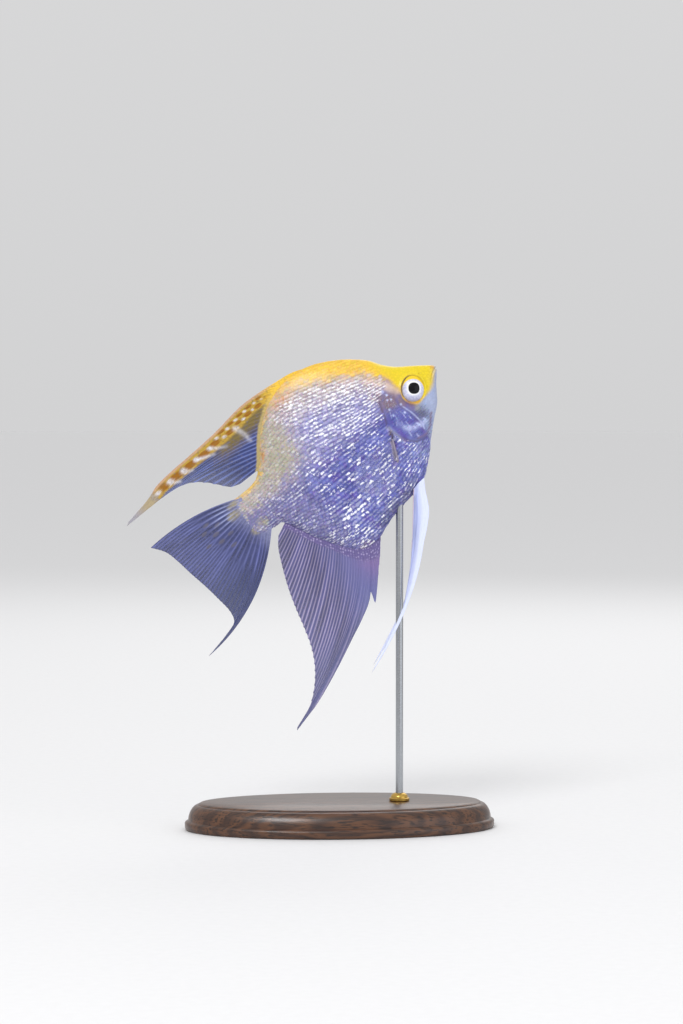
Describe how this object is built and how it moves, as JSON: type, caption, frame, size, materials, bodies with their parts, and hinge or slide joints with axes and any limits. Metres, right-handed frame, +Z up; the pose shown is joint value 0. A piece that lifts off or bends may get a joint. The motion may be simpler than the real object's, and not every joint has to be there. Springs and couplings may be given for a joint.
{
  "type": "freshwater angelfish display model",
  "caption": "Life-size still model of a gold pearlscale freshwater angelfish, held nose up on an oval wooden base by one thin rod.",
  "frame": {"origin": "centre of the display base's flat underside, on the surface that it stands on", "axes": "+X the way the fish heads in plan, +Y the fish's left, +Z up; the fish lies in the plane Y = 0, nose up by 40 degrees"},
  "size_m": [0.1238, 0.054, 0.1571],
  "materials": {
    "crown_skin": "wet yellow skin fading to pearl",
    "pearl_skin": "pearly lavender skin with small scales",
    "gill_pearl": "smooth blue pearl gill cover",
    "eye": "silver iris with black pupil under a clear cornea",
    "clear_fin": "thin lavender web with fine pale rays",
    "barred_fin": "orange-brown bars and white spots over a clear web",
    "white_fin": "opaque bluish white",
    "stand_wood": "satin lacquered walnut",
    "stand_steel": "polished stainless rod",
    "stand_brass": "turned brass"
  },
  "bodies": {
    "root": {"head": "crown_skin", "lower_jaw": "pearl_skin", "gill_cover_left": "gill_pearl", "gill_cover_right": "gill_pearl", "trunk": "pearl_skin", "tail_stalk": "pearl_skin", "eye_left": "eye", "eye_right": "eye", "dorsal_fin": "barred_fin", "anal_fin": "clear_fin", "tail_fin": "clear_fin", "pelvic_fin_left": "white_fin", "pelvic_fin_right": "white_fin", "pectoral_fin_left": "clear_fin", "pectoral_fin_right": "clear_fin", "stand_base": "stand_wood", "stand_collar": "stand_brass", "stand_rod": "stand_steel"}
  },
  "joints": []
}
